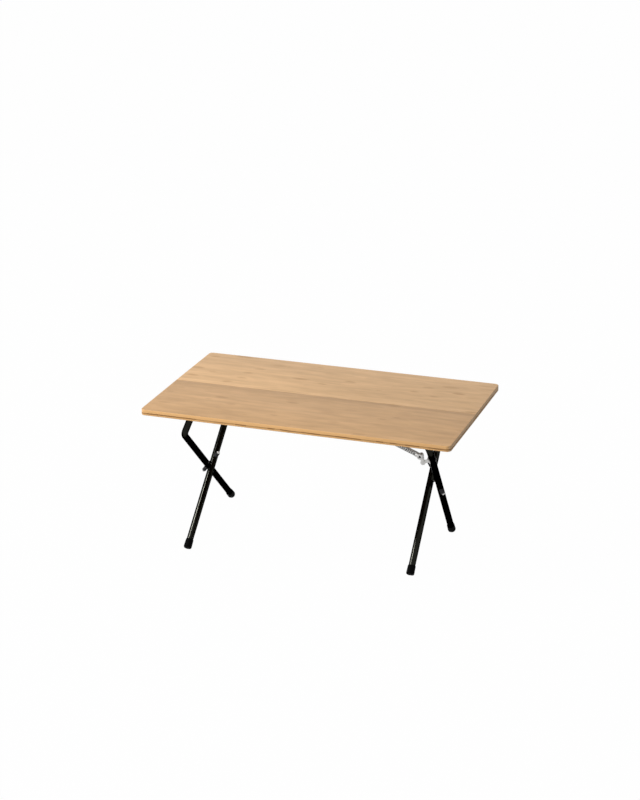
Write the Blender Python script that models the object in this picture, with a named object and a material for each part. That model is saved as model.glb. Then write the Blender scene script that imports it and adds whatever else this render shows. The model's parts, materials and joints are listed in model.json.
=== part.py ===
"""Folding camping table: a bamboo top on two crossed tube frames, each held open by a spring stay.

Metres, +Z up. The origin is on the floor under the middle of the top, X runs along the top,
and the front edge is at -Y. Each frame folds inwards about a rod under the top.
"""
import math
from types import SimpleNamespace

import bmesh
import bpy
from mathutils import Matrix, Vector

# Top
TOP_LENGTH = 0.830
TOP_DEPTH = 0.490
TOP_HEIGHT = 0.4035
BOARD_THICKNESS = 0.016
CORNER_RADIUS = 0.012
EDGE_ROUND = 0.0014
SEAM_GAP = 0.0006
SPLINE_WIDTH = 0.016
SPLINE_THICKNESS = 0.004
SPLINE_END_INSET = 0.030

# Clearances
FIT_GAP = 0.0003
TURN_GAP = 0.0005

# Leg tubes and feet
TUBE_RADIUS = 0.009
TUBE_WALL = 0.0014
BEND_RADIUS = 0.026
TUBE_TOP_RISE = 0.011
CAP_WALL = 0.0015
CAP_RIM_WALL = 0.0010
CAP_LENGTH = 0.0245
CAP_FLOOR = 0.006
CAP_ROUND = 0.0035
CAP_FLAT_DEPTH = 0.0012

# Frame hinges under the top
PIVOT_DROP = 0.0425
ROD_RADIUS = 0.004
ROD_END_REACH = 0.006
EAR_Y = 0.105
EAR_THICKNESS = 0.003
EAR_RADIUS = 0.009
EAR_ROOT_WIDTH = 0.028
PLATE_WIDTH = 0.036
PLATE_THICKNESS = 0.0025
PLATE_END_MARGIN = 0.012
PLATE_SCREW_EDGE = 0.007
PLATE_SCREW_Y = 0.045
SCREW_RADIUS = 0.0017
SCREW_HEAD_RADIUS = 0.0038
SCREW_HEAD_HEIGHT = 0.0020
SCREW_BITE = 0.009

# Crossing of the two legs
CROSS_PIN_RADIUS = 0.0020
CROSS_PIN_SINK = 0.0003
SPACER_RADIUS = 0.0034

# Buffers on the legs
BUFFER_RADIUS = 0.0055
BUFFER_ROOT = 0.004
BUFFER_HEIGHT = 0.011
BUFFER_RIM = 0.0012
BUFFER_SIDES = 28
BUFFER_SCREW_RADIUS = 0.0015
BUFFER_SCREW_END = 0.001
BUFFER_SCREW_HEAD = 0.0042
BUFFER_SCREW_HEIGHT = 0.0042

# Spring stays
STAY_SLOPE_DEG = 21.0
BRACKET_DROP = 0.1065
PIN_RISE = 0.016
STAY_SIDE_OFFSET = 0.0163
BRACKET_THICKNESS = 0.008
BRACKET_STEP = 0.0006
BRACKET_EYE_RADIUS = 0.0060
BRACKET_EYE_THICKNESS = 0.0045
BRACKET_NECK_RADIUS = 0.0036
BRACKET_HEEL_RADIUS = 0.0066
BRACKET_HEEL_OUT = 0.0042
BRACKET_HEEL_DOWN = 0.0208
BRACKET_TOE_RADIUS = 0.0046
BRACKET_SADDLE_WALL = 0.0016
BRACKET_SADDLE_HALF = 0.0080
BRACKET_SADDLE_OPENING = 0.0035
BRACKET_BOLT_RADIUS = 0.0020
BRACKET_BOLT_HEAD = 0.0042
BRACKET_BOLT_HEIGHT = 0.0025
BRACKET_BOLT_BITE = 0.004
ARM_RADIUS = 0.0072
ARM_WALL = 0.0011
ARM_EYE_RADIUS = 0.0074
ARM_BLOCK_LENGTH = 0.013
ARM_LOWER_EDGE_DEG = -80
ARM_UPPER_EDGE_DEG = 135
ARM_TONGUE_WIDTH = 0.006
ARM_TONGUE_RISE = 0.007
SLIDER_EYE_RADIUS = 0.0048
SLIDER_RADIUS = 0.0028
STAY_PIN_RADIUS = 0.0020
STAY_PIN_HEAD = 0.0030
STAY_PIN_HEAD_HEIGHT = 0.0016
SPRING_COILS = 32
SPRING_RADIUS = 0.0043
SPRING_WIRE = 0.0015
SPRING_POINTS_PER_COIL = 8

# Guide rails for the stays
RAIL_WALL = 0.002
RAIL_DEPTH = 0.013
RAIL_SIDE_GAP = 0.001
RAIL_TOP_GAP = 0.0008
RAIL_OVERRUN = 0.019
RAIL_SCREW_INSET = 0.006
LEFT_SLIDE_TRAVEL = 0.044
RIGHT_SLIDE_TRAVEL = 0.052

# The wide frame is at the left end, the narrow one at the right. A buffer's place is how far it is up the leg
# from the crossing pin, and then to the front and to its own side of the tube's axis
LEFT = SimpleNamespace(
    name="left", side=-1, end_inset=0.079, tube_step=0.022, pivot_step=0.0154, stay_reach=0.0185,
    outer_foot=0.190, outer_bend=-0.145, outer_bend_drop=0.0799,
    inner_foot=-0.193, inner_bend=0.145, inner_bend_drop=0.0799,
    outer_buffer=(-0.029, 0.0065, 0.0055), inner_buffer=(0.0185, 0.006, 0.0052), buffer_tilt_deg=53,
    cross_pin_up=0.0,
    stay_leg="inner", rod_through=False, travel=LEFT_SLIDE_TRAVEL)
RIGHT = SimpleNamespace(
    name="right", side=1, end_inset=0.098, tube_step=0.024, pivot_step=0.0155, stay_reach=0.0285,
    outer_foot=0.156, outer_bend=-0.0785, outer_bend_drop=0.0715,
    inner_foot=-0.163, inner_bend=0.0735, inner_bend_drop=0.1295,
    outer_buffer=(-0.0285, 0.006, 0.004), inner_buffer=(0.0408, 0.0, 0.0088), buffer_tilt_deg=60,
    cross_pin_up=0.006,
    stay_leg="outer", rod_through=True, travel=RIGHT_SLIDE_TRAVEL)

# Facets of the round pieces
TUBE_SIDES = 18
CAP_SIDES = 24
ROD_SIDES = 20
SMALL_SIDES = 14
ARC_STEPS = 8

UNDERSIDE = TOP_HEIGHT - BOARD_THICKNESS
PLATE_BOTTOM = UNDERSIDE - FIT_GAP - PLATE_THICKNESS
RAIL_CEILING = UNDERSIDE - FIT_GAP - RAIL_WALL
PIVOT_Z = UNDERSIDE - PIVOT_DROP
CAP_RADIUS = TUBE_RADIUS + FIT_GAP + CAP_WALL
X_AXIS = Vector((1, 0, 0))
Y_AXIS = Vector((0, 1, 0))
Z_AXIS = Vector((0, 0, 1))


def material(name, colour, roughness, metallic):
    """A Principled material of one colour."""
    made = bpy.data.materials.new(name)
    made.use_nodes = True
    shader = made.node_tree.nodes["Principled BSDF"]
    shader.inputs["Base Color"].default_value = (*colour, 1.0)
    shader.inputs["Roughness"].default_value = roughness
    shader.inputs["Metallic"].default_value = metallic
    made.diffuse_color = (*colour, 1.0)
    return made


def empty_at(name, point):
    """A parent for the pieces that turn together, on their joint's axis."""
    holder = bpy.data.objects.new(name, None)
    holder.empty_display_size = 0.03
    holder.location = point
    bpy.context.collection.objects.link(holder)
    return holder


def add_object(name, shape, finish, parent=None):
    """Turn a bmesh in world coordinates into a named object, hung on its parent if it has one."""
    bmesh.ops.recalc_face_normals(shape, faces=shape.faces)
    if parent is not None:
        bmesh.ops.translate(shape, verts=shape.verts, vec=-parent.location)
    mesh = bpy.data.meshes.new(name)
    shape.to_mesh(mesh)
    shape.free()
    mesh.shade_smooth()
    mesh.set_sharp_from_angle(angle=math.radians(35))
    made = bpy.data.objects.new(name, mesh)
    bpy.context.collection.objects.link(made)
    made.parent = parent
    if finish is not None:
        mesh.materials.append(finish)
    return made


def add_cutter(name, shape):
    """A guide object that only cuts others."""
    made = add_object(name, shape, None)
    made.hide_render = True
    made.display_type = "WIRE"
    return made


def boolean(target, tool, operation):
    """Cut or join with an exact Boolean."""
    modifier = target.modifiers.new(tool.name, "BOOLEAN")
    modifier.object = tool
    modifier.operation = operation
    modifier.solver = "EXACT"


def cut(target, name, shape):
    """Take a shape away from an object."""
    boolean(target, add_cutter(name, shape), "DIFFERENCE")


def join(target, name, shape):
    """Grow an object by a shape that overlaps it."""
    boolean(target, add_cutter(name, shape), "UNION")


def cross_axes(direction):
    """Two unit vectors square to a direction and to each other."""
    side = direction.cross(Z_AXIS if abs(direction.z) < 0.9 else X_AXIS).normalized()
    return side, direction.cross(side).normalized()


def ring(shape, centre, side, up, radius, count):
    """A circle of vertices."""
    turns = (2 * math.pi * (k + 0.5) / count for k in range(count))
    return [shape.verts.new(centre + radius * (math.cos(t) * side + math.sin(t) * up)) for t in turns]


def skin(shape, first, second):
    """Faces between two rings of the same count."""
    count = len(first)
    for k in range(count):
        after = (k + 1) % count
        shape.faces.new((first[k], first[after], second[after], second[k]))


def turned(profile, start, direction, sides, closed=False):
    """Turn (radius, distance) points about an axis; an open profile begins and ends in a flat cap."""
    shape = bmesh.new()
    direction = direction.normalized()
    side, up = cross_axes(direction)
    rings = [ring(shape, start + d * direction, side, up, r, sides) for r, d in profile]
    for first, second in zip(rings, rings[1:]):
        skin(shape, first, second)
    if closed:
        skin(shape, rings[-1], rings[0])
    else:
        shape.faces.new(rings[0])
        shape.faces.new(rings[-1])
    return shape


def rod_between(start, end, radius, sides):
    """A plain round bar."""
    return turned([(radius, 0.0), (radius, (end - start).length)], start, end - start, sides)


def prism(outline, depth):
    """A flat outline of points carried along a vector."""
    shape = bmesh.new()
    near = [shape.verts.new(p) for p in outline]
    far = [shape.verts.new(p + depth) for p in outline]
    skin(shape, near, far)
    shape.faces.new(near)
    shape.faces.new(far)
    return shape


def block(low, high):
    """A box between two corners."""
    outline = [Vector((low[0], low[1], low[2])), Vector((high[0], low[1], low[2])),
               Vector((high[0], high[1], low[2])), Vector((low[0], high[1], low[2]))]
    return prism(outline, Vector((0, 0, high[2] - low[2])))


def merge_shapes(shapes):
    """Several separate shapes in one bmesh, for a cutter."""
    whole = bmesh.new()
    for part in shapes:
        mesh = bpy.data.meshes.new("part")
        part.to_mesh(mesh)
        part.free()
        whole.from_mesh(mesh)
        bpy.data.meshes.remove(mesh)
    return whole


def hull_outline(circles, steps):
    """The outer outline round some (u, v, radius) circles, as points in order."""
    points = []
    for u, v, radius in circles:
        for k in range(steps):
            turn = 2 * math.pi * k / steps
            points.append((round(u + radius * math.cos(turn), 7), round(v + radius * math.sin(turn), 7)))
    points = sorted(set(points))
    halves = []
    for run in (points, points[::-1]):
        half = []
        for p in run:
            while len(half) > 1 and turn_of(half[-2], half[-1], p) <= 1e-12:
                half.pop()
            half.append(p)
        halves.append(half[:-1])
    return halves[0] + halves[1]


def turn_of(a, b, c):
    """Twice the signed area of a triangle."""
    return (b[0] - a[0]) * (c[1] - a[1]) - (b[1] - a[1]) * (c[0] - a[0])


def bent_path(foot, bend, top, radius):
    """Points of a tube's axis: straight, round the bend on an arc, and straight again."""
    arrive = (bend - foot).normalized()
    leave = (top - bend).normalized()
    angle = arrive.angle(leave)
    setback = radius * math.tan(angle / 2)
    inward = (leave - arrive).normalized()
    centre = bend + inward * (radius / math.cos(angle / 2))
    start = bend - arrive * setback - centre
    spin_axis = arrive.cross(leave).normalized()
    arc = [centre + Matrix.Rotation(angle * k / ARC_STEPS, 3, spin_axis) @ start
           for k in range(ARC_STEPS + 1)]
    return [foot] + arc + [top]


def swept_rings(shape, path, radius, sides):
    """Rings along a path, each turned on from the last without twist."""
    tangents = []
    for k, point in enumerate(path):
        before = path[max(k - 1, 0)]
        after = path[min(k + 1, len(path) - 1)]
        tangents.append((after - before).normalized())
    side, up = cross_axes(tangents[0])
    rings = []
    for k, point in enumerate(path):
        if k:
            turn = tangents[k - 1].rotation_difference(tangents[k])
            side = turn @ side
            up = turn @ up
        rings.append(ring(shape, point, side, up, radius, sides))
    return rings


def leg_tube(path):
    """A bent tube, open at the foot and closed by a dome at the top."""
    shape = bmesh.new()
    away = (path[-1] - path[-2]).normalized()
    dome = [(0.92, 0.40), (0.62, 0.80)]
    outer = swept_rings(shape, path, TUBE_RADIUS, TUBE_SIDES)
    inner_path = path[:-1] + [path[-1] - away * TUBE_WALL]
    inner = swept_rings(shape, inner_path, TUBE_RADIUS - TUBE_WALL, TUBE_SIDES)
    for rings in (outer, inner):
        for first, second in zip(rings, rings[1:]):
            skin(shape, first, second)
    skin(shape, outer[0], inner[0])
    top = outer[-1]
    for share, rise in dome:
        lift = away * (TUBE_RADIUS * rise * 0.35)
        rim = [shape.verts.new(path[-1] + (v.co - path[-1]) * share + lift) for v in outer[-1]]
        skin(shape, top, rim)
        top = rim
    shape.faces.new(top)
    shape.faces.new(inner[-1])
    return shape


def screw_shape(seat, direction, head_radius, head_height, shank_radius, shank_length):
    """A pan-head screw: its head stands on the seat and its shank runs on along the direction."""
    profile = [(head_radius * 0.6, -head_height), (head_radius * 0.93, -head_height * 0.62),
               (head_radius, 0.0), (shank_radius, 0.0), (shank_radius, shank_length)]
    return turned(profile, seat, direction, SMALL_SIDES)


def board_outline(front_y, back_y, rounded_y):
    """Rectangle of one board at the underside's height, with its two outer corners rounded."""
    half = TOP_LENGTH / 2
    points = []
    for x, y, first in ((half, front_y, -90), (half, back_y, 0),
                        (-half, back_y, 90), (-half, front_y, 180)):
        if y != rounded_y:
            points.append(Vector((x, y, UNDERSIDE)))
            continue
        cx = x - math.copysign(CORNER_RADIUS, x)
        cy = y - math.copysign(CORNER_RADIUS, y)
        for k in range(ARC_STEPS + 1):
            turn = math.radians(first + 90 * k / ARC_STEPS)
            points.append(Vector((cx + CORNER_RADIUS * math.cos(turn), cy + CORNER_RADIUS * math.sin(turn),
                                  UNDERSIDE)))
    return points


def make_boards(finish):
    """The two halves of the top and the loose spline that keys their edges together."""
    half_gap = SEAM_GAP / 2
    edge = TOP_DEPTH / 2
    boards = []
    for name, near, far in (("front_board", -edge, -half_gap), ("back_board", half_gap, edge)):
        rounded = near if name == "front_board" else far
        board = add_object(name, prism(board_outline(near, far, rounded), Vector((0, 0, BOARD_THICKNESS))),
                           finish)
        bevel = board.modifiers.new("edge_round", "BEVEL")
        bevel.width = EDGE_ROUND
        bevel.segments = 2
        bevel.limit_method = "ANGLE"
        bevel.angle_limit = math.radians(60)
        boards.append(board)
    middle = TOP_HEIGHT - BOARD_THICKNESS / 2
    reach = TOP_LENGTH / 2 - SPLINE_END_INSET
    low = Vector((-reach, -SPLINE_WIDTH / 2, middle - SPLINE_THICKNESS / 2))
    add_object("centre_spline",
               block(low, Vector((reach, SPLINE_WIDTH / 2, middle + SPLINE_THICKNESS / 2))), finish)
    grow = Vector((FIT_GAP, FIT_GAP, FIT_GAP))
    groove = add_cutter("spline_groove", block(low - grow, Vector((reach, SPLINE_WIDTH / 2,
                                                                   middle + SPLINE_THICKNESS / 2)) + grow))
    for board in boards:
        boolean(board, groove, "DIFFERENCE")
    return boards


def pilot_hole(point):
    """The blind hole of a wood screw in the underside."""
    start = point - Z_AXIS * FIT_GAP
    return rod_between(start, point + Z_AXIS * (SCREW_BITE + 3 * FIT_GAP),
                       SCREW_RADIUS + FIT_GAP, SMALL_SIDES)


def frame_points(frame):
    """Where the legs of one frame stand, bend, cross and hang."""
    side = frame.side
    outer_x = side * (TOP_LENGTH / 2 - frame.end_inset)
    inner_x = outer_x - side * frame.tube_step
    pivot_x = outer_x - side * frame.pivot_step
    legs = {}
    for role, x, foot_y, bend_y, drop in (
            ("outer", outer_x, frame.outer_foot, frame.outer_bend, frame.outer_bend_drop),
            ("inner", inner_x, frame.inner_foot, frame.inner_bend, frame.inner_bend_drop)):
        bend = Vector((x, bend_y, UNDERSIDE - drop))
        lean = math.atan2(abs(bend_y - foot_y), bend.z)
        cap_end = (CAP_RADIUS * math.sin(lean) - CAP_ROUND * (math.sin(lean) + math.cos(lean) - 1)
                   - CAP_FLAT_DEPTH)
        foot = Vector((x, foot_y, cap_end))
        along = (bend - foot).normalized()
        pivot = Vector((pivot_x, bend_y, PIVOT_Z))
        rise = (pivot - bend).normalized()
        legs[role] = SimpleNamespace(foot=foot, bend=bend, pivot=pivot, along=along,
                                     tip=pivot + rise * (TUBE_TOP_RISE - TUBE_RADIUS * 0.28))
    first = legs["outer"]
    second = legs["inner"]
    slope_1 = first.along.y / first.along.z
    slope_2 = second.along.y / second.along.z
    cross_z = ((second.foot.y - first.foot.y + slope_1 * first.foot.z - slope_2 * second.foot.z)
               / (slope_1 - slope_2))
    cross_y = first.foot.y + slope_1 * (cross_z - first.foot.z)
    return SimpleNamespace(legs=legs, pivot_x=pivot_x, outer_x=outer_x, inner_x=inner_x, side=side,
                           cross_y=cross_y, cross_z=cross_z + frame.cross_pin_up)


def leg_point_at_height(leg, height):
    """The point of a leg's straight run at a height."""
    return leg.foot + leg.along * ((height - leg.foot.z) / leg.along.z)


def make_hinge(frame, points, finish, screw_finish, boards):
    """Cross plate under both boards, with its two welded ears and four screws."""
    reach = EAR_Y + EAR_THICKNESS / 2 + PLATE_END_MARGIN
    low = Vector((points.pivot_x - PLATE_WIDTH / 2, -reach, PLATE_BOTTOM))
    plate = add_object(f"{frame.name}_hinge_plate",
                       block(low, Vector((points.pivot_x + PLATE_WIDTH / 2, reach, UNDERSIDE - FIT_GAP))),
                       finish)
    ear_top = PLATE_BOTTOM - FIT_GAP
    root = EAR_ROOT_WIDTH / 2
    for place, y in (("front", -EAR_Y), ("rear", EAR_Y)):
        lower = [math.pi + math.pi * k / (2 * ARC_STEPS) for k in range(2 * ARC_STEPS + 1)]
        outline = [Vector((points.pivot_x + EAR_RADIUS * math.cos(t), y - EAR_THICKNESS / 2,
                           PIVOT_Z + EAR_RADIUS * math.sin(t))) for t in lower]
        outline += [Vector((points.pivot_x + root, y - EAR_THICKNESS / 2, ear_top)),
                    Vector((points.pivot_x - root, y - EAR_THICKNESS / 2, ear_top))]
        ear = add_object(f"{frame.name}_{place}_hinge_ear", prism(outline, Y_AXIS * EAR_THICKNESS), finish)
        centre = Vector((points.pivot_x, y, PIVOT_Z))
        cut(ear, f"{ear.name}_bore",
            rod_between(centre - Y_AXIS * EAR_THICKNESS, centre + Y_AXIS * EAR_THICKNESS,
                        ROD_RADIUS + TURN_GAP, ROD_SIDES))
    seats = [Vector((points.pivot_x + sx * (PLATE_WIDTH / 2 - PLATE_SCREW_EDGE),
                     sy * PLATE_SCREW_Y, PLATE_BOTTOM))
             for sy in (-1, 1) for sx in (-1, 1)]
    through = [rod_between(s - Z_AXIS * PLATE_THICKNESS, s + Z_AXIS * 2 * PLATE_THICKNESS,
                           SCREW_RADIUS + FIT_GAP, SMALL_SIDES) for s in seats]
    cut(plate, f"{frame.name}_plate_holes", merge_shapes(through))
    for number, seat in enumerate(seats, 1):
        length = PLATE_THICKNESS + FIT_GAP + SCREW_BITE
        add_object(f"{frame.name}_plate_screw_{number}",
                   screw_shape(seat - Z_AXIS * FIT_GAP, Z_AXIS, SCREW_HEAD_RADIUS, SCREW_HEAD_HEIGHT,
                               SCREW_RADIUS, length), screw_finish)
    for board, own in zip(boards, (seats[:2], seats[2:])):
        holes = [pilot_hole(Vector((s.x, s.y, UNDERSIDE))) for s in own]
        cut(board, f"{frame.name}_{board.name}_pilots", merge_shapes(holes))


def make_legs(frame, points, holder, tube_finish, cap_finish):
    """The two bent tubes of a frame and their foot caps."""
    tubes = {}
    for role, leg in points.legs.items():
        start = leg.foot + leg.along * (CAP_FLOOR + FIT_GAP)
        path = bent_path(start, leg.bend, leg.tip, BEND_RADIUS)
        tube = add_object(f"{frame.name}_{role}_leg", leg_tube(path), tube_finish, holder)
        tubes[role] = tube
        socket = TUBE_RADIUS + FIT_GAP
        quarter = [math.pi / 2 * k / 4 for k in range(5)]
        profile = [(CAP_RADIUS - CAP_ROUND + CAP_ROUND * math.sin(t), CAP_ROUND - CAP_ROUND * math.cos(t))
                   for t in quarter]
        profile += [(socket + CAP_RIM_WALL, CAP_LENGTH - CAP_RIM_WALL / 2),
                    (socket + CAP_RIM_WALL / 2, CAP_LENGTH), (socket, CAP_LENGTH), (socket, CAP_FLOOR)]
        cap = add_object(f"{frame.name}_{role}_foot_cap", turned(profile, leg.foot, leg.along, CAP_SIDES),
                         cap_finish, holder)
        reach = 2 * CAP_LENGTH
        cut(cap, f"{cap.name}_floor", block(leg.foot - Vector((reach, reach, reach)),
                                            Vector((leg.foot.x + reach, leg.foot.y + reach, 0.0))))
    return tubes


def make_rod(frame, points, tubes, holder, finish):
    """The pivot rod, blind in the wide frame's tubes and riveted over outside the other's ears."""
    ends = [points.legs[role].pivot.y for role in ("outer", "inner")]
    if frame.rod_through:
        head = EAR_Y + EAR_THICKNESS / 2 + TURN_GAP
        rivet = ROD_RADIUS * 1.5
        profile = [(rivet * 0.7, 0.0), (rivet, ROD_RADIUS * 0.25), (rivet, ROD_RADIUS * 0.5),
                   (ROD_RADIUS, ROD_RADIUS * 0.5)]
        length = 2 * (head + ROD_RADIUS * 0.5)
        profile += [(r, length - d) for r, d in profile[::-1]]
        start = Vector((points.pivot_x, -length / 2, PIVOT_Z))
        shape = turned(profile, start, Y_AXIS, ROD_SIDES)
    else:
        low = Vector((points.pivot_x, min(ends) - ROD_END_REACH, PIVOT_Z))
        shape = rod_between(low, Vector((points.pivot_x, max(ends) + ROD_END_REACH, PIVOT_Z)),
                            ROD_RADIUS, ROD_SIDES)
    add_object(f"{frame.name}_pivot_rod", shape, finish, holder)
    for role, tube in tubes.items():
        centre = points.legs[role].pivot
        towards = -math.copysign(1, centre.y)
        near = centre + Y_AXIS * towards * 2 * TUBE_RADIUS
        reach = 2 * TUBE_RADIUS if frame.rod_through else ROD_END_REACH + FIT_GAP
        cut(tube, f"{tube.name}_rod_bore", rod_between(near, centre - Y_AXIS * towards * reach,
                                                       ROD_RADIUS + FIT_GAP, ROD_SIDES))


def make_crossing(frame, points, tubes, holder, finish):
    """The flush pin and the spacer that hold the two legs together where they cross."""
    inward = -X_AXIS * frame.side
    off_axis = frame.cross_pin_up * max(abs(leg.along.y) for leg in points.legs.values())
    half_chord = math.sqrt(TUBE_RADIUS ** 2 - off_axis ** 2)
    outside = Vector((points.outer_x, points.cross_y, points.cross_z)) - inward * half_chord
    far = frame.tube_step + 2 * half_chord
    add_object(f"{frame.name}_cross_pin",
               rod_between(outside + inward * CROSS_PIN_SINK, outside + inward * (far - CROSS_PIN_SINK),
                           CROSS_PIN_RADIUS, ROD_SIDES), finish, holder)
    bore = CROSS_PIN_RADIUS + FIT_GAP
    space = frame.tube_step - 2 * TUBE_RADIUS - 2 * FIT_GAP
    profile = [(bore, 0.0), (SPACER_RADIUS, 0.0), (SPACER_RADIUS, space), (bore, space)]
    start = outside + inward * (half_chord + TUBE_RADIUS + FIT_GAP)
    add_object(f"{frame.name}_cross_spacer",
               turned(profile, start, inward, ROD_SIDES, closed=True), finish, holder)
    for tube in tubes.values():
        cut(tube, f"{tube.name}_cross_bore",
            rod_between(outside - inward * TUBE_RADIUS, outside + inward * (far + TUBE_RADIUS),
                        bore, ROD_SIDES))


def make_buffers(frame, points, tubes, holder, rubber, steel):
    """A slanting rubber buffer and its screw on each leg: down and out on one, up and in on the other."""
    tilt = math.radians(frame.buffer_tilt_deg)
    for role, sign, (up, front, out) in (("outer", 1, frame.outer_buffer),
                                         ("inner", -1, frame.inner_buffer)):
        leg = points.legs[role]
        sideways = X_AXIS * frame.side * sign
        axis_point = leg_point_at_height(leg, points.cross_z) + leg.along * up
        square = leg.along.cross(X_AXIS).normalized()
        square *= -math.copysign(1, square.y)
        root = axis_point + square * front + sideways * out
        direction = sideways * math.cos(tilt) - Z_AXIS * sign * math.sin(tilt)
        hole = BUFFER_SCREW_RADIUS + FIT_GAP
        name = f"{frame.name}_{role}_buffer"
        profile = [(BUFFER_RADIUS, -BUFFER_ROOT), (BUFFER_RADIUS, BUFFER_HEIGHT - BUFFER_RIM),
                   (BUFFER_RADIUS - BUFFER_RIM * 0.3, BUFFER_HEIGHT - BUFFER_RIM * 0.3),
                   (BUFFER_RADIUS - BUFFER_RIM, BUFFER_HEIGHT)]
        buffer = add_object(name, turned(profile, root, direction, BUFFER_SIDES), rubber, holder)
        run = leg.along * (6 * TUBE_RADIUS)
        cut(buffer, f"{name}_saddle", rod_between(axis_point - run, axis_point + run, TUBE_RADIUS + FIT_GAP,
                                                  TUBE_SIDES * 2))
        for piece in (buffer, tubes[role]):
            cut(piece, f"{piece.name}_{role}_buffer_hole",
                rod_between(root - direction * 2 * BUFFER_ROOT, root + direction * 2 * BUFFER_HEIGHT,
                            hole, SMALL_SIDES))
        add_object(f"{name}_screw",
                   screw_shape(root + direction * (BUFFER_HEIGHT + FIT_GAP), -direction,
                               BUFFER_SCREW_HEAD, BUFFER_SCREW_HEIGHT, BUFFER_SCREW_RADIUS,
                               BUFFER_HEIGHT + FIT_GAP + BUFFER_SCREW_END),
                   steel, holder)


def stay_points(frame, points):
    """The hinge point of a stay on its leg, its direction, and its sliding end under the top."""
    leg = points.legs[frame.stay_leg]
    seat = leg_point_at_height(leg, UNDERSIDE - BRACKET_DROP)
    inward = -frame.side
    outside_y = math.copysign(1, seat.y)
    hinge = Vector((seat.x + inward * frame.stay_reach, seat.y + outside_y * STAY_SIDE_OFFSET,
                    seat.z + PIN_RISE))
    slope = math.radians(STAY_SLOPE_DEG)
    along = Vector((inward * math.cos(slope), 0, math.sin(slope)))
    above = Vector((-inward * math.sin(slope), 0, math.cos(slope)))
    slider_z = RAIL_CEILING - RAIL_TOP_GAP - SLIDER_EYE_RADIUS
    length = (slider_z - hinge.z - ARM_TONGUE_RISE * above.z) / along.z
    slider = hinge + along * length + above * ARM_TONGUE_RISE
    return SimpleNamespace(leg=leg, seat=seat, inward=inward, outside_y=outside_y, hinge=hinge, along=along,
                           above=above, length=length, slider=slider)


def make_bracket(frame, stay, tube, holder, steel, dark_steel):
    """The plate on the leg that carries the stay's hinge pin, with the bolt that fixes it."""
    near = stay.hinge.y - stay.outside_y * (ARM_RADIUS + FIT_GAP)
    far = near - stay.outside_y * BRACKET_THICKNESS
    toe = stay.leg.foot + stay.leg.along * (((near + far) / 2 - stay.leg.foot.y) / stay.leg.along.y)
    heel = stay.hinge + Vector((-stay.inward * BRACKET_HEEL_OUT, 0, -BRACKET_HEEL_DOWN))
    inner_y = -stay.outside_y
    eye = (stay.hinge.x, stay.hinge.z, BRACKET_EYE_RADIUS)
    shapes = []
    for circles, start, end in (
            ((eye, (heel.x, heel.z, BRACKET_NECK_RADIUS)), 0.0, BRACKET_EYE_THICKNESS),
            (((heel.x, heel.z, BRACKET_HEEL_RADIUS),), BRACKET_STEP, BRACKET_THICKNESS),
            (((heel.x, heel.z, BRACKET_NECK_RADIUS), (toe.x, toe.z, BRACKET_TOE_RADIUS)),
             2 * BRACKET_STEP, BRACKET_THICKNESS - BRACKET_STEP)):
        outline = [Vector((u, near + inner_y * start, v)) for u, v in hull_outline(circles, 24)]
        shapes.append(prism(outline, Y_AXIS * inner_y * (end - start)))
    bracket = add_object(f"{frame.name}_stay_bracket", shapes[0], steel, holder)
    join(bracket, f"{bracket.name}_heel", shapes[1])
    join(bracket, f"{bracket.name}_link", shapes[2])
    run = stay.leg.along * BRACKET_SADDLE_HALF
    sleeve = TUBE_RADIUS + FIT_GAP + BRACKET_SADDLE_WALL
    join(bracket, f"{bracket.name}_sleeve", rod_between(toe - run, toe + run, sleeve, TUBE_SIDES * 2))
    edge = toe.x + stay.inward * BRACKET_SADDLE_OPENING
    open_side = sorted((edge, toe.x - stay.inward * 2 * sleeve))
    reach = 3 * sleeve
    cut(bracket, f"{bracket.name}_opening", block((open_side[0], toe.y - reach, toe.z - reach),
                                                  (open_side[1], toe.y + reach, toe.z + reach)))
    run = stay.leg.along * (6 * TUBE_RADIUS)
    cut(bracket, f"{bracket.name}_saddle",
        rod_between(toe - run, toe + run, TUBE_RADIUS + FIT_GAP, TUBE_SIDES * 2))
    pin = Vector((stay.hinge.x, near, stay.hinge.z))
    side_run = Y_AXIS * (2 * BRACKET_THICKNESS)
    cut(bracket, f"{bracket.name}_pin_bore", rod_between(pin - side_run, pin + side_run,
                                                         STAY_PIN_RADIUS + FIT_GAP, ROD_SIDES))
    inward = X_AXIS * stay.inward
    bolt_seat = toe - inward * (TUBE_RADIUS + FIT_GAP)
    bolt_length = 2 * TUBE_RADIUS + 2 * FIT_GAP + BRACKET_BOLT_BITE
    add_object(f"{frame.name}_bracket_bolt",
               screw_shape(bolt_seat, inward, BRACKET_BOLT_HEAD, BRACKET_BOLT_HEIGHT, BRACKET_BOLT_RADIUS,
                           bolt_length), dark_steel, holder)
    for piece in (tube, bracket):
        hole = rod_between(bolt_seat - inward * TUBE_RADIUS, bolt_seat + inward * (bolt_length + 2 * FIT_GAP),
                           BRACKET_BOLT_RADIUS + FIT_GAP, SMALL_SIDES)
        cut(piece, f"{piece.name}_bolt_hole", hole)
    outer_face = stay.hinge + Y_AXIS * stay.outside_y * (ARM_RADIUS + FIT_GAP)
    grip = 2 * (ARM_RADIUS + FIT_GAP) + BRACKET_EYE_THICKNESS + FIT_GAP
    profile = [(STAY_PIN_HEAD * 0.7, -STAY_PIN_HEAD_HEIGHT), (STAY_PIN_HEAD, -STAY_PIN_HEAD_HEIGHT * 0.5),
               (STAY_PIN_HEAD, 0.0), (STAY_PIN_RADIUS, 0.0), (STAY_PIN_RADIUS, grip),
               (STAY_PIN_HEAD * 0.85, grip), (STAY_PIN_HEAD * 0.85, grip + STAY_PIN_HEAD_HEIGHT * 0.7)]
    add_object(f"{frame.name}_stay_pin", turned(profile, outer_face, Y_AXIS * -stay.outside_y, SMALL_SIDES),
               dark_steel, holder)


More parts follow.
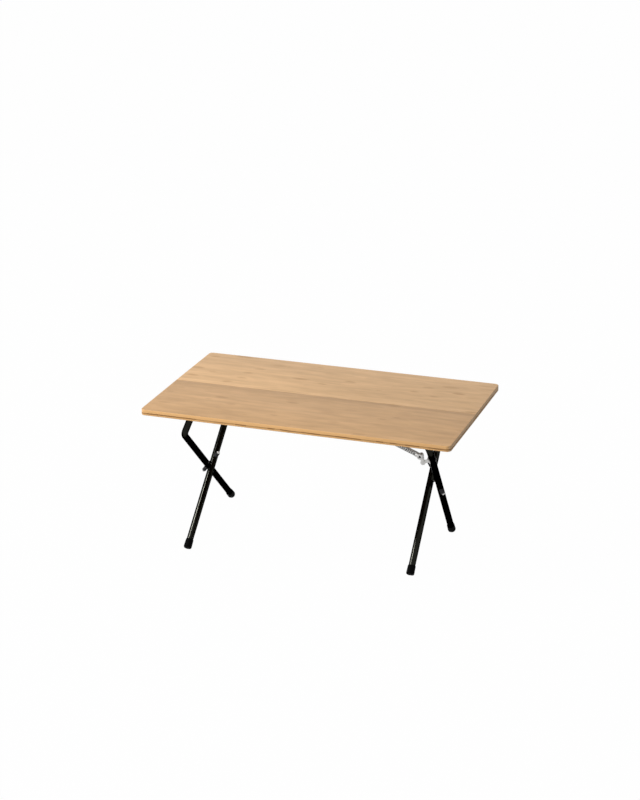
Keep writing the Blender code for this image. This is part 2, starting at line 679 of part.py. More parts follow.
def make_arm(frame, stay, holder, steel):
    """The stay's arm: a tube with a window along its outer lower side, and a solid eye at each end."""
    half = Y_AXIS * ARM_RADIUS

    def at(u, w, y=0.0):
        return stay.hinge + stay.along * u + stay.above * w + Y_AXIS * y

    eye = add_object(f"{frame.name}_stay_arm",
                     rod_between(stay.hinge - half, stay.hinge + half, ARM_EYE_RADIUS, TUBE_SIDES * 2),
                     steel, holder)
    overlap = ARM_BLOCK_LENGTH * 0.1
    for place, u0, u1 in (("lower", 0.0, ARM_BLOCK_LENGTH),
                          ("upper", stay.length - ARM_BLOCK_LENGTH, stay.length + SLIDER_EYE_RADIUS * 0.9)):
        join(eye, f"{eye.name}_{place}_block",
             rod_between(at(u0, 0.0), at(u1, 0.0), ARM_RADIUS - ARM_WALL / 3, TUBE_SIDES * 2))
    steps = 3 * ARC_STEPS
    arc = [math.radians(ARM_LOWER_EDGE_DEG + (ARM_UPPER_EDGE_DEG - ARM_LOWER_EDGE_DEG) * k / steps)
           for k in range(steps + 1)]
    inside = ARM_RADIUS - ARM_WALL
    u0 = ARM_BLOCK_LENGTH - overlap
    u1 = stay.length - ARM_BLOCK_LENGTH + overlap
    back = -stay.outside_y
    section = [at(u0, ARM_RADIUS * math.sin(t), back * ARM_RADIUS * math.cos(t)) for t in arc]
    section += [at(u0, inside * math.sin(t), back * inside * math.cos(t)) for t in arc[::-1]]
    join(eye, f"{eye.name}_trough", prism(section, stay.along * (u1 - u0)))
    tongue = hull_outline([(stay.length, ARM_TONGUE_RISE, SLIDER_EYE_RADIUS),
                           (stay.length - overlap, 0.0, SLIDER_EYE_RADIUS * 0.85)], 24)
    outline = [at(u, w, -ARM_TONGUE_WIDTH / 2) for u, w in tongue]
    join(eye, f"{eye.name}_tongue", prism(outline, Y_AXIS * ARM_TONGUE_WIDTH))
    for place, centre, radius in (("pin", stay.hinge, STAY_PIN_RADIUS + TURN_GAP),
                                  ("slider", stay.slider, SLIDER_RADIUS + FIT_GAP)):
        cut(eye, f"{eye.name}_{place}_bore",
            rod_between(centre - half * 2, centre + half * 2, radius, ROD_SIDES))
    slider_half = Y_AXIS * ARM_RADIUS
    add_object(f"{frame.name}_slider_pin", rod_between(stay.slider - slider_half, stay.slider + slider_half,
                                                       SLIDER_RADIUS, ROD_SIDES), steel, holder)


def spring_path(stay):
    """Helix points between the arm's end blocks; both ends run straight for one wire diameter."""
    straight = 2 * SPRING_WIRE
    first = ARM_BLOCK_LENGTH + FIT_GAP
    last = stay.length - ARM_BLOCK_LENGTH - FIT_GAP
    run = last - first - 2 * straight
    count = SPRING_COILS * SPRING_POINTS_PER_COIL
    points = []
    for k in range(count + 1):
        turn = 2 * math.pi * k / SPRING_POINTS_PER_COIL
        u = first + straight + run * k / count
        points.append(stay.hinge + stay.along * u + stay.above * (SPRING_RADIUS * math.cos(turn))
                      + Y_AXIS * (SPRING_RADIUS * math.sin(turn)))
    return [points[0] - stay.along * straight] + points + [points[-1] + stay.along * straight]


def spring_gap(points):
    """Least distance between the wire's surfaces, from points at least half a coil apart."""
    apart = SPRING_POINTS_PER_COIL // 2
    least = min((points[i] - points[j]).length
                for i in range(len(points)) for j in range(i + apart, min(i + 3 * apart, len(points))))
    return least - 2 * SPRING_WIRE


def make_spring(frame, stay, holder, steel):
    """The coil spring that lies in the arm's trough."""
    points = spring_path(stay)
    print(f"{frame.name} spring: least gap to itself {spring_gap(points) * 1000:.2f} mm")
    curve = bpy.data.curves.new(f"{frame.name}_stay_spring", "CURVE")
    curve.dimensions = "3D"
    curve.bevel_depth = SPRING_WIRE
    curve.bevel_resolution = 1
    curve.use_fill_caps = True
    spline = curve.splines.new("POLY")
    spline.points.add(len(points) - 1)
    for slot, point in zip(spline.points, points):
        slot.co = (*(point - holder.location), 1.0)
    curve.materials.append(steel)
    coil = bpy.data.objects.new(curve.name, curve)
    bpy.context.collection.objects.link(coil)
    coil.parent = holder


def make_rail(frame, stay, finish, screw_finish, board):
    """The channel under the top that the stay's sliding end runs in, and its two screws."""
    inner = ARM_RADIUS + RAIL_SIDE_GAP
    outer = inner + RAIL_WALL
    ends = sorted((stay.slider.x - stay.inward * RAIL_OVERRUN,
                   stay.slider.x + stay.inward * (frame.travel + RAIL_OVERRUN)))
    y = stay.slider.y
    top = UNDERSIDE - FIT_GAP
    corners = [(-outer, top), (-outer, top - RAIL_DEPTH), (-inner, top - RAIL_DEPTH), (-inner, RAIL_CEILING),
               (inner, RAIL_CEILING), (inner, top - RAIL_DEPTH), (outer, top - RAIL_DEPTH), (outer, top)]
    outline = [Vector((ends[0], y + dy, z)) for dy, z in corners]
    rail = add_object(f"{frame.name}_guide_rail", prism(outline, X_AXIS * (ends[1] - ends[0])), finish)
    seats = [Vector((x, y, RAIL_CEILING)) for x in (ends[0] + RAIL_SCREW_INSET, ends[1] - RAIL_SCREW_INSET)]
    through = [rod_between(s - Z_AXIS * RAIL_WALL, s + Z_AXIS * 2 * RAIL_WALL,
                           SCREW_RADIUS + FIT_GAP, SMALL_SIDES) for s in seats]
    cut(rail, f"{rail.name}_holes", merge_shapes(through))
    for number, seat in enumerate(seats, 1):
        add_object(f"{frame.name}_rail_screw_{number}",
                   screw_shape(seat - Z_AXIS * FIT_GAP, Z_AXIS, SCREW_HEAD_RADIUS, SCREW_HEAD_HEIGHT,
                               SCREW_RADIUS, RAIL_WALL + FIT_GAP + SCREW_BITE), screw_finish)
    cut(board, f"{rail.name}_pilots",
        merge_shapes([pilot_hole(Vector((s.x, s.y, UNDERSIDE))) for s in seats]))


def main():
    for old in list(bpy.data.objects):
        bpy.data.objects.remove(old, do_unlink=True)
    bamboo = material("bamboo", (0.60, 0.40, 0.22), 0.45, 0.0)
    black_tube = material("black_tube", (0.006, 0.006, 0.007), 0.32, 0.0)
    black_cap = material("black_cap", (0.008, 0.008, 0.008), 0.6, 0.0)
    grey_rubber = material("grey_rubber", (0.05, 0.05, 0.055), 0.7, 0.0)
    bright_steel = material("bright_steel", (0.62, 0.62, 0.60), 0.3, 1.0)
    dark_steel = material("dark_steel", (0.08, 0.08, 0.08), 0.4, 1.0)

    boards = make_boards(bamboo)
    for frame in (LEFT, RIGHT):
        points = frame_points(frame)
        stay = stay_points(frame, points)
        frame_axis = empty_at(f"{frame.name}_frame_axis", Vector((points.pivot_x, 0, PIVOT_Z)))
        stay_axis = empty_at(f"{frame.name}_stay_axis", stay.hinge)
        make_hinge(frame, points, bright_steel, dark_steel, boards)
        tubes = make_legs(frame, points, frame_axis, black_tube, black_cap)
        make_rod(frame, points, tubes, frame_axis, bright_steel)
        make_crossing(frame, points, tubes, frame_axis, dark_steel)
        make_buffers(frame, points, tubes, frame_axis, grey_rubber, bright_steel)
        make_bracket(frame, stay, tubes[frame.stay_leg], frame_axis, bright_steel, dark_steel)
        make_arm(frame, stay, stay_axis, bright_steel)
        make_spring(frame, stay, stay_axis, bright_steel)
        make_rail(frame, stay, bright_steel, dark_steel, boards[0] if stay.slider.y < 0 else boards[1])
        print(f"{frame.name} frame: pivot {points.pivot_x:.4f} {PIVOT_Z:.4f}, "
              f"stay hinge {tuple(stay.hinge)}, slider {tuple(stay.slider)}, "
              f"crossing {points.cross_y:.4f} {points.cross_z:.4f}")


main()
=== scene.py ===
"""Looks of a folding camping table: bamboo top, crossed black tube frames and spring stays.

Laid out as an add-on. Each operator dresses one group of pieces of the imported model, the fixed frame.
"""
import json
import math
from types import SimpleNamespace

import bpy
import numpy as np
from bpy.props import FloatProperty, FloatVectorProperty, IntProperty, PointerProperty
from mathutils import Matrix, Vector

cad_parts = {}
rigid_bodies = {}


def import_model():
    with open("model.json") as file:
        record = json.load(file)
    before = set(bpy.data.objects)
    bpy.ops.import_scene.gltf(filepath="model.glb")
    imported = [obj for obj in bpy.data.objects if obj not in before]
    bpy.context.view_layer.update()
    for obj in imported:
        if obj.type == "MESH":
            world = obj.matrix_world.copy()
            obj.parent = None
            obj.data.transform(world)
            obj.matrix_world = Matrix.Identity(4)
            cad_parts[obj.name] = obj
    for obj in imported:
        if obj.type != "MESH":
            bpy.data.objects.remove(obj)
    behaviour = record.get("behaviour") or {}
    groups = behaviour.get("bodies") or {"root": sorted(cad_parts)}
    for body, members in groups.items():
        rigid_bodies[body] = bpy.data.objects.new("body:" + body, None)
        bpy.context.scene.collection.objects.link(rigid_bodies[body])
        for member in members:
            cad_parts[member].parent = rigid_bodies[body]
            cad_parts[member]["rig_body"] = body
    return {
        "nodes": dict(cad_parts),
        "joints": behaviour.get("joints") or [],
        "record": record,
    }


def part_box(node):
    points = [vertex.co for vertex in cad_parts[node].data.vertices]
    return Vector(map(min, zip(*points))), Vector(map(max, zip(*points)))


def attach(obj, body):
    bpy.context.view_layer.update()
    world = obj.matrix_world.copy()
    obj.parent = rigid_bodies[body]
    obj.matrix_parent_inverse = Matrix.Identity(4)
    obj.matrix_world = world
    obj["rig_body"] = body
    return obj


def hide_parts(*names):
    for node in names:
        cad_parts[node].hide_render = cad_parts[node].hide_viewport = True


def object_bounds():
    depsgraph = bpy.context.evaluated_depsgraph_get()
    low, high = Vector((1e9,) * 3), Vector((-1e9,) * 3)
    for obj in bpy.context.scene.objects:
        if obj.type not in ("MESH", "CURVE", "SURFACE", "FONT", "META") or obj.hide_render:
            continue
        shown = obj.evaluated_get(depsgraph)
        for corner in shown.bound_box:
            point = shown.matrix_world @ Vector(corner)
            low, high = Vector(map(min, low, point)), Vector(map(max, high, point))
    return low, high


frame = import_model()
CAD_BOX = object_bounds()
NODES = frame["nodes"]
JOINTS = {joint["name"]: joint for joint in frame["joints"]}

bl_info = {
    "name": "Folding Camping Table",
    "version": (1, 0, 0),
    "blender": (4, 5, 0),
    "location": "3D View > Sidebar > Camping Table",
    "description": "Dresses a packed folding camping table with its surfaces, finishes and stage",
    "category": "Object",
}

X_AXIS = np.array((1.0, 0.0, 0.0))
Y_AXIS = np.array((0.0, 1.0, 0.0))
Z_AXIS = np.array((0.0, 0.0, 1.0))

SIDES = ("left", "right")
# Which way along X is out from the middle of the table
OUTWARD = {"left": -1.0, "right": 1.0}
# Each leg: its foot in Y, its bend in Y, and how far the bend lies below the underside of the top
LEG_BENDS = {
    ("left", "outer"): (0.190, -0.145, 0.0799),
    ("left", "inner"): (-0.193, 0.145, 0.0799),
    ("right", "outer"): (0.156, -0.0785, 0.0715),
    ("right", "inner"): (-0.163, 0.0735, 0.1295),
}
# Each buffer: how far up the leg from the crossing pin, then to the front and to its own side of the axis
BUFFER_PLACES = {
    ("left", "outer"): (-0.029, 0.0065, 0.0055),
    ("left", "inner"): (0.0185, 0.006, 0.0052),
    ("right", "outer"): (-0.0285, 0.006, 0.004),
    ("right", "inner"): (0.0408, 0.0, 0.0088),
}
BUFFER_TILT_DEG = {"left": 53.0, "right": 60.0}
STAY_SLOPE_DEG = 21.0
# Clearance between pieces that fit into each other
FIT_GAP = 0.0003

# Sides of round pieces
TUBE_SIDES = 40
CAP_SIDES = 48
ROD_SIDES = 36
PIN_SIDES = 32
BUFFER_SCREW_SIDES = 30
WIRE_SIDES = 12
# Steps of arcs and turns, points of straight runs, and the angle from which an edge is shown sharp
CORNER_STEPS = 10
EDGE_STEPS = 5
RIM_STEPS = 8
BEND_STEPS = 16
COIL_STEPS = 24
LONG_RUN_POINTS = 12
SHORT_RUN_POINTS = 6
SHARP_DEG = 40.0
# The rise from which a direction counts as upright
UPRIGHT = 0.9

# Angles of the rings that close a tube's upper end, and of those that round a screw's head
TUBE_DOME_DEG = np.linspace(12, 84, 7)
SCREW_DOME_DEG = np.linspace(72, 8, 6)
# A board's corners at the seam: their radius and their edge rounding, as shares of the outer edge rounding
SEAM_CORNER = 1.02
SEAM_ROUND = 0.3
# Rings of a foot cap's underside, as shares of its radius
CAP_BOTTOM = (0.15, 0.45)
# Rings of a screw's drive recess, as shares of the head's radius and height, and its star's points and waves
RECESS = ((0.18, 0.75), (0.36, 0.70), (0.40, 0.03))
RECESS_POINTS = 6
RECESS_WAVE = 0.24
# Chamfers: shares of the radius of a screw's shank and of a plain rod, and the size of a ring's
SCREW_CHAMFER = 0.6
ROD_CHAMFER = 0.15
RING_CHAMFER = 0.0005
# Rings of a riveted rod head: share of its radius, and depth
RIVET_HEAD = ((0.25, 0.0), (0.70, 0.0002), (0.94, 0.0007), (1.0, 0.0012), (1.0, 0.0020))
# Rings of a stay pin: radius and depth at its domed head, radius and distance from the end at its far head
PIN_HEAD = ((0.0008, 0.0), (0.0018, 0.0002), (0.0026, 0.0007), (0.0030, 0.0012), (0.0030, 0.0016),
            (0.0020, 0.0016))
PIN_FAR_HEAD = ((0.0020, 0.0011), (0.0026, 0.0011), (0.0024, 0.0003), (0.0016, 0.0))

# Where the two boards' tones meet, to each side of the seam
SEAM_BLEND = 0.0015
# The pale strip behind the seam and the dark one before it: where each starts to fade, and where it ends
PALE_STRIP = (0.017, 0.024)
DARK_STRIP = (0.008, 0.034)
# How far inside the top's ends and sides the cut edges begin, from nothing to full
CUT_ENDS = (0.020, 0.010)
CUT_SIDES = (0.045, 0.035)
# Seeds of the random draws, and how many lengths a draw may shift a strip or its knuckles
STRIP_SEED = 3.0
KNUCKLE_SEED = 11.0
SWELL_SEED = 2.5
PRESENCE_SEED = 0.5
CORE_SEED = 5.0
STRIP_SHIFT = 7.0
KNUCKLE_SHIFT = 5.0
# Relief of the finishes in metres, and how strongly it turns the light
FIBRE_HEIGHT = 0.00005
STRIP_HEIGHT = 0.00003
PLY_HEIGHT = 0.00008
PEEL_HEIGHT = 0.00002
GRIT_HEIGHT = 0.00004
BRUSH_HEIGHT = 0.00002
BUMP_STRENGTH = 0.5

# Each light: the stage's power for it, its width along X, its length, and where it stands
LIGHTS = {
    "key_light": ("key_power", 1.1, 0.30, (-2.55, -1.10, 3.50)),
    "second_key_light": ("key_power", 1.1, 0.30, (-3.30, -1.53, 3.50)),
    "fill_light": ("fill_power", 1.6, 0.8, (-0.45, -2.95, 0.92)),
    "back_light": ("back_power", 2.0, 2.0, (0.70, 1.2, 2.5)),
}
# The height that the lights face, as a share of the table's height
LIGHT_AIM = 0.7
FLOOR_REACH = 30.0
FLOOR_DROP = 0.0002
# How much of the floor's own white the eye sees, over its shadows, and the world's level as light
FLOOR_WHITE = 0.99
WORLD_LIGHT = 0.28
SENSOR_WIDTH_MM = 36.0
WHITE = (1.0, 1.0, 1.0, 1.0)
BLACK = (0.0, 0.0, 0.0, 1.0)


def length_prop(name, description, default):
    """A size in metres."""
    return FloatProperty(name=name, description=description, default=default, min=0.0, unit="LENGTH",
                         precision=4)


def power_prop(name, description, default):
    """A light's power in watts."""
    return FloatProperty(name=name, description=description, default=default, min=0.0, unit="POWER")


def angle_prop(name, description, degrees):
    """An angle, given in degrees."""
    return FloatProperty(name=name, description=description, default=math.radians(degrees), subtype="ANGLE")


def colour_prop(name, description, default):
    """A colour, as light reflects it."""
    return FloatVectorProperty(name=name, description=description, default=default, size=3, subtype="COLOR",
                               min=0.0, max=1.0)


class CampTableSizes(bpy.types.PropertyGroup):
    """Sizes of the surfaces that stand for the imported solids, and of the bamboo's pattern."""
    edge_round: length_prop("Edge rounding", "Radius of the top's edges", 0.0018)
    corner_radius: length_prop("Corner radius", "Radius of the top's corners, seen from above", 0.012)
    tube_radius: length_prop("Tube radius", "Outside radius of the leg tube", 0.009)
    bend_radius: length_prop("Bend radius", "Radius of a tube's axis in its bend", 0.026)
    tube_top: length_prop("Tube top", "How far a tube runs past its pivot", 0.00848)
    cap_radius: length_prop("Cap radius", "Outside radius of a foot cap at the floor", 0.0108)
    cap_rim: length_prop("Cap rim", "Wall of a foot cap at its upper rim", 0.0010)
    cap_length: length_prop("Cap length", "Length of a foot cap", 0.0245)
    cap_round: length_prop("Cap rounding", "Radius of a foot cap's lower rim", 0.0035)
    cap_flat: length_prop("Cap flat", "How much of the lower rim the floor cuts off", 0.0012)
    cap_floor: length_prop("Cap floor", "Rubber under the tube's end", 0.006)
    wire_radius: length_prop("Spring wire", "Radius of the stay spring's wire", 0.0015)
    coil_radius: length_prop("Spring coil", "Radius of the stay spring's wire axis", 0.0043)
    end_block: length_prop("End block", "Length of a stay's solid end", 0.013)
    strip_width: length_prop("Strip width", "Width of a bamboo strip", 0.0205)
    strip_length: length_prop("Strip length", "Length of a bamboo strip", 0.46)
    knuckle_spacing: length_prop("Knuckle spacing", "Length of strip that may hold one knuckle", 0.155)
    knuckle_length: length_prop("Knuckle length", "Half length of a knuckle", 0.0135)
    knuckle_width: length_prop("Knuckle width", "Half width of a knuckle", 0.0050)
    core_strip: length_prop("Core strip", "Width of the strips of the cross-laid ply", 0.021)
    coils: IntProperty(name="Coils", description="Turns of the stay spring", default=32, min=1)


class CampTableColours(bpy.types.PropertyGroup):
    """Colours of the finishes."""
    bamboo: colour_prop("Bamboo", "Face of the back board", (0.590, 0.380, 0.207))
    # The front board's colour is painted shade: a tone darker than the back board, for the light that falls
    # off towards the front
    bamboo_front_painted_shade: colour_prop("Bamboo, front", "Face of the front board", (0.536, 0.328, 0.165))
    bamboo_dark: colour_prop("Bamboo, dark", "Dark fibre and knuckles", (0.37, 0.215, 0.098))
    bamboo_edge: colour_prop("Bamboo, edge", "Outer plies where the edge is cut", (0.80, 0.466, 0.198))
    bamboo_end: colour_prop("Bamboo, end", "Plies where the ends are cut across", (0.76, 0.520, 0.31))
    bamboo_core: colour_prop("Bamboo, core", "Cross-laid middle ply", (0.30, 0.145, 0.050))
    tube: colour_prop("Tube", "Black coat of the legs", (0.0128, 0.0128, 0.0108))
    cap: colour_prop("Cap", "Foot caps", (0.0012, 0.0012, 0.0012))
    buffer: colour_prop("Buffer", "Rubber buffers", (0.040, 0.040, 0.043))
    zinc: colour_prop("Zinc", "Bright plated steel", (0.65, 0.643, 0.628))
    black_zinc: colour_prop("Black zinc", "Dark plated steel", (0.014, 0.014, 0.0145))
    floor: colour_prop("Floor", "Studio floor", (0.35, 0.35, 0.35))


class Field:
    """A value that varies over a surface: one socket, whose arithmetic adds nodes to its tree."""

    def __init__(self, tree, socket=None):
        self.tree = tree
        self.socket = socket

    def make(self, kind, settings, inputs, output=0):
        """Any node: its type, its settings, and the values or links of its sockets."""
        node = self.tree.nodes.new(kind)
        for name, value in settings.items():
            setattr(node, name, value)
        for key, value in inputs.items():
            if isinstance(value, Field):
                self.tree.links.new(value.socket, node.inputs[key])
            else:
                node.inputs[key].default_value = value
        return Field(self.tree, node.outputs[output])

    def maths(self, operation, first, second=0.0):
        return self.make("ShaderNodeMath", {"operation": operation}, {0: first, 1: second})

    def __add__(self, other):
        return self.maths("ADD", self, other)

    def __radd__(self, other):
        return self.maths("ADD", other, self)

    def __sub__(self, other):
        return self.maths("SUBTRACT", self, other)

    def __rsub__(self, other):
        return self.maths("SUBTRACT", other, self)

    def __mul__(self, other):
        return self.maths("MULTIPLY", self, other)

    def __rmul__(self, other):
        return self.maths("MULTIPLY", other, self)

    def __truediv__(self, other):
        return self.maths("DIVIDE", self, other)

    def __pow__(self, other):
        return self.maths("POWER", self, other)

    def floor(self):
        return self.maths("FLOOR", self)

    def fraction(self):
        return self.maths("FRACT", self)

    def size(self):
        return self.maths("ABSOLUTE", self)

    def larger(self, other):
        return self.maths("MAXIMUM", self, other)

    def step(self, low, high):
        """0 below low, 1 above high, and a smooth rise between."""
        return self.make("ShaderNodeMapRange", {"interpolation_type": "SMOOTHSTEP"},
                         {"Value": self, "From Min": low, "From Max": high})

    def mix(self, first, second):
        """From the first colour to the second as this value goes from 0 to 1."""
        return self.make("ShaderNodeMix", {"data_type": "RGBA"}, {0: self, 6: first, 7: second}, 2)

    def parts(self):
        """The three numbers of a vector."""
        split = self.make("ShaderNodeSeparateXYZ", {}, {0: self}).socket.node
        return [Field(self.tree, socket) for socket in split.outputs]

    def vector(self, x, y, z):
        return self.make("ShaderNodeCombineXYZ", {}, {0: x, 1: y, 2: z})

    def noise(self, scale, detail=2.0, roughness=0.5):
        """Soft noise at this place, after stretching it by a scale along each axis."""
        stretched = self.make("ShaderNodeVectorMath", {"operation": "MULTIPLY"}, {0: self, 1: scale})
        return self.make("ShaderNodeTexNoise", {}, {"Vector": stretched, "Scale": 1.0, "Detail": detail,
                                                    "Roughness": roughness})

    def chance(self, x, y):
        """A random number from 0 to 1 for each pair of numbers."""
        return self.make("ShaderNodeTexWhiteNoise", {"noise_dimensions": "2D"},
                         {"Vector": self.vector(x, y, 0.0)})


def rgba(colour, share=1.0):
    """A colour of a property, made lighter or darker by a share."""
    return (*(min(1.0, part * share) for part in colour), 1.0)


def shades(colour, low, high):
    """Two shades of a colour, for a mix: times the low share, and times the high one."""
    return rgba(colour, low), rgba(colour, high)


def start_material(name):
    """A new material with its shader, and the place on the piece as a field."""
    material = bpy.data.materials.new(name)
    material.use_nodes = True
    tree = material.node_tree
    place = Field(tree).make("ShaderNodeTexCoord", {}, {}, "Object")
    return material, tree.nodes["Principled BSDF"], place


def wire_up(shader, **fields):
    """Join fields or plain values to the shader's sockets, named with _ for a space."""
    for name, value in fields.items():
        socket = shader.inputs[name.replace("_", " ")]
        if isinstance(value, Field):
            value.tree.links.new(value.socket, socket)
        else:
            socket.default_value = value


def bump(height):
    """Normals of a relief, whose height is in metres."""
    return height.make("ShaderNodeBump", {}, {"Height": height, "Strength": BUMP_STRENGTH, "Distance": 1.0},
                       "Normal")


def bamboo_grain(place, sizes):
    """What the bamboo's patterns share: the place, the strip's number, the place across it from -0.5 to 0.5,
    how near its edge that is, the side of the seam, and noises stretched along the fibre."""
    x, y, z = place.parts()
    lane = y / sizes.strip_width
    across = lane.fraction() - 0.5
    return SimpleNamespace(
        x=x, y=y, z=z, row=lane.floor(), across=across, edge=across.size() * 2.0,
        seam=y.step(-SEAM_BLEND, SEAM_BLEND),
        fibre=place.noise((7.0, 260.0, 90.0), detail=3.0, roughness=0.6),
        streak=place.noise((7.5, 50.0, 20.0), detail=3.0, roughness=0.55),
        cloud=place.noise((2.6, 9.0, 5.0)),
        lens=place.noise((12.0, 60.0, 20.0)))


def bamboo_light(place, grain, sizes):
    """How pale the face is, from 0 to 1: each strip's own tone, streaks, clouds and lens-shaped patches."""
    piece = (grain.x / sizes.strip_length + place.chance(grain.row, STRIP_SEED) * STRIP_SHIFT).floor()
    tone = 0.5 + (place.chance(grain.row, piece) - 0.5) * (1.0 - grain.edge.step(0.80, 1.0) * 0.3)
    light = grain.streak.step(0.30, 0.70) * 0.22 + grain.cloud.step(0.30, 0.70) * 0.20
    light = light + tone * 0.20 + grain.fibre * 0.16
    light = light + grain.lens.step(0.47, 0.60) * 0.16 - (1.0 - grain.lens).step(0.56, 0.66) * 0.12 + 0.07
    pale_strip = grain.seam * (1.0 - grain.y.step(*PALE_STRIP))
    dark_strip = (1.0 - grain.seam) * (1.0 - (0.0 - grain.y).step(*DARK_STRIP))
    return light + pale_strip * 0.15 - dark_strip * 0.22


def bamboo_marks(place, grain, sizes):
    """How dark the marks are, from 0 to 1: a knuckle in some cells of each strip and short dashes, both
    broken into threads, and faint lines where the strips join."""
    cells = grain.x / sizes.knuckle_spacing + place.chance(grain.row, KNUCKLE_SEED) * KNUCKLE_SHIFT
    off_x = (cells.fraction() - 0.5) * sizes.knuckle_spacing + (grain.cloud - 0.5) * 0.10
    off_y = grain.across * sizes.strip_width + (grain.streak - 0.5) * 0.012
    swell = 0.6 + place.chance(grain.row + SWELL_SEED, cells.floor()) * 0.8
    along = off_x / (sizes.knuckle_length * swell)
    aside = off_y / (sizes.knuckle_width * swell)
    spot = (along ** 2.0 + aside ** 2.0).step(2.2, 0.0)
    there = place.chance(grain.row + PRESENCE_SEED, cells.floor()).step(0.50, 0.95)
    dash = place.noise((30.0, 150.0, 90.0), detail=1.0, roughness=0.4).step(0.68, 0.82)
    thread = place.noise((22.0, 420.0, 90.0), roughness=0.6).step(0.38, 0.62)
    broken = 0.25 + thread * 0.6 + grain.lens * 0.6
    return (spot * there * 0.56 + dash * 0.20) * broken + grain.edge.step(0.92, 1.0) * 0.09


def bamboo_plies(place, grain, colours, sizes):
    """The cut edges: where they are, where the middle ply shows in them, and the colour of the plies."""
    high = CAD_BOX[1]
    facing = Field(place.tree).make("ShaderNodeTexCoord", {}, {}, "Normal").parts()
    at_sides = grain.y.size().step(*(high.y - inset for inset in CUT_SIDES))
    at_ends = grain.x.size().step(*(high.x - inset for inset in CUT_ENDS))
    cut = at_sides.larger(at_ends) * (1.0 - facing[2].size().step(0.45, 0.80))

    wander = (place.noise((26.0, 26.0, 8.0)) - 0.5) * 0.12
    depth = (high.z - grain.z) / board_thickness() + wander
    core = depth.step(0.50, 0.58) * (1.0 - depth.step(0.70, 0.77))
    strips = (grain.x + grain.y) / sizes.core_strip + place.noise((9.0, 9.0, 0.0), detail=1.0) * 6.0
    core = core * (0.62 + 0.38 * place.chance(strips.floor(), CORE_SEED).step(0.10, 0.60))

    ply = (grain.streak * 0.6 + grain.fibre * 0.4).mix(*shades(colours.bamboo_edge, 0.90, 1.10))
    ply = facing[0].size().step(0.4, 0.8).mix(ply, rgba(colours.bamboo_end))
    return cut, core, core.mix(ply, rgba(colours.bamboo_core))


def bamboo_finish(name, colours, sizes):
    """Laminated bamboo: soft strips along X with fibre and knuckles, the front board painted a tone darker
    than the back one as painted shade for the light that falls off towards the front, and three plies in the
    cut edges."""
    material, shader, place = start_material(name)
    grain = bamboo_grain(place, sizes)
    light = bamboo_light(place, grain, sizes)
    # The front board gets painted shade: a darker tone than the back board, standing in for less light at the
    # front
    front = light.mix(*shades(colours.bamboo_front_painted_shade, 0.80, 1.20))
    back = light.mix(*shades(colours.bamboo, 0.80, 1.20))
    marks = bamboo_marks(place, grain, sizes)
    face = marks.mix(grain.seam.mix(front, back), rgba(colours.bamboo_dark))
    cut, core, ply = bamboo_plies(place, grain, colours, sizes)
    height = grain.fibre * FIBRE_HEIGHT + (1.0 - grain.edge.step(0.93, 1.0)) * STRIP_HEIGHT
    height = height + (1.0 - core * cut) * PLY_HEIGHT
    wire_up(shader, Base_Color=cut.mix(face, ply), Normal=bump(height), Specular_IOR_Level=0.16,
            Roughness=0.44 + 0.14 * (1.0 - grain.streak) + 0.10 * cut)
    return material


def powder_coat_finish(name, colours):
    """Satin black coat: fine orange peel over a barely uneven black that only shines face on."""
    material, shader, place = start_material(name)
    peel = place.noise((620.0, 620.0, 620.0))
    patch = place.noise((28.0, 28.0, 28.0), detail=3.0, roughness=0.55)
    colour = (patch * 0.7 + peel * 0.3).mix(*shades(colours.tube, 0.75, 1.5))
    wire_up(shader, Base_Color=colour, Metallic=1.0, Specular_Tint=BLACK,
            Roughness=0.11 + 0.04 * patch + 0.02 * peel, Normal=bump(peel * PEEL_HEIGHT))
    return material


def rubber_finish(name, colour, lift):
    """Moulded rubber: matt, with a fine spark-eroded texture and rubbed spots, paler by the lift."""
    material, shader, place = start_material(name)
    grit = place.noise((1500.0, 1500.0, 1500.0), roughness=0.6)
    rub = place.noise((90.0, 90.0, 60.0), detail=3.0, roughness=0.6)
    tone = rub.step(0.35, 0.75) * 0.7 + grit * 0.3
    wire_up(shader, Base_Color=tone.mix(*shades(colour, 0.8, lift)), Roughness=0.56 + 0.18 * grit,
            Normal=bump(grit * GRIT_HEIGHT), Specular_IOR_Level=0.03)
    return material


def plated_finish(name, colour, rough):
    """Zinc plate on steel: brushed along X, with soft crystalline patches and a few darker scuffs."""
    material, shader, place = start_material(name)
    brush = place.noise((40.0, 900.0, 900.0), roughness=0.6)
    patch = place.noise((130.0, 130.0, 130.0), detail=3.0, roughness=0.6)
    scuff = place.noise((60.0, 240.0, 240.0)).step(0.66, 0.80)
    tone = brush * 0.45 + patch * 0.55
    plate = tone.step(0.3, 0.7).mix(*shades(colour, 0.86, 1.10))
    wire_up(shader, Base_Color=(scuff * 0.5).mix(plate, rgba(colour, 0.5)), Metallic=0.35,
            Roughness=rough + 0.16 * (1.0 - tone) + 0.12 * scuff, Normal=bump(brush * BRUSH_HEIGHT))
    return material


def finishes():
    """The six finishes by the record's slot names, each made once."""
    colours = bpy.context.scene.camp_table_colours
    sizes = bpy.context.scene.camp_table_sizes
    makers = {
        "bamboo": lambda name: bamboo_finish(name, colours, sizes),
        "black_tube": lambda name: powder_coat_finish(name, colours),
        "black_cap": lambda name: rubber_finish(name, colours.cap, lift=1.5),
        "grey_rubber": lambda name: rubber_finish(name, colours.buffer, lift=1.35),
        "bright_steel": lambda name: plated_finish(name, colours.zinc, rough=0.24),
        "dark_steel": lambda name: plated_finish(name, colours.black_zinc, rough=0.30),
    }
    made = {}
    for slot, maker in makers.items():
        name = slot + "_finish"
        made[slot] = bpy.data.materials.get(name) or maker(name)
    return made


def slot_of(node):
    """The record's material slot of a CAD node."""
    return next(row["material_slot"] for row in frame["record"]["subparts"] if row["node"] == node)


def body_of(node):
    """The body that a CAD node rides on."""
    return NODES[node]["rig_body"]


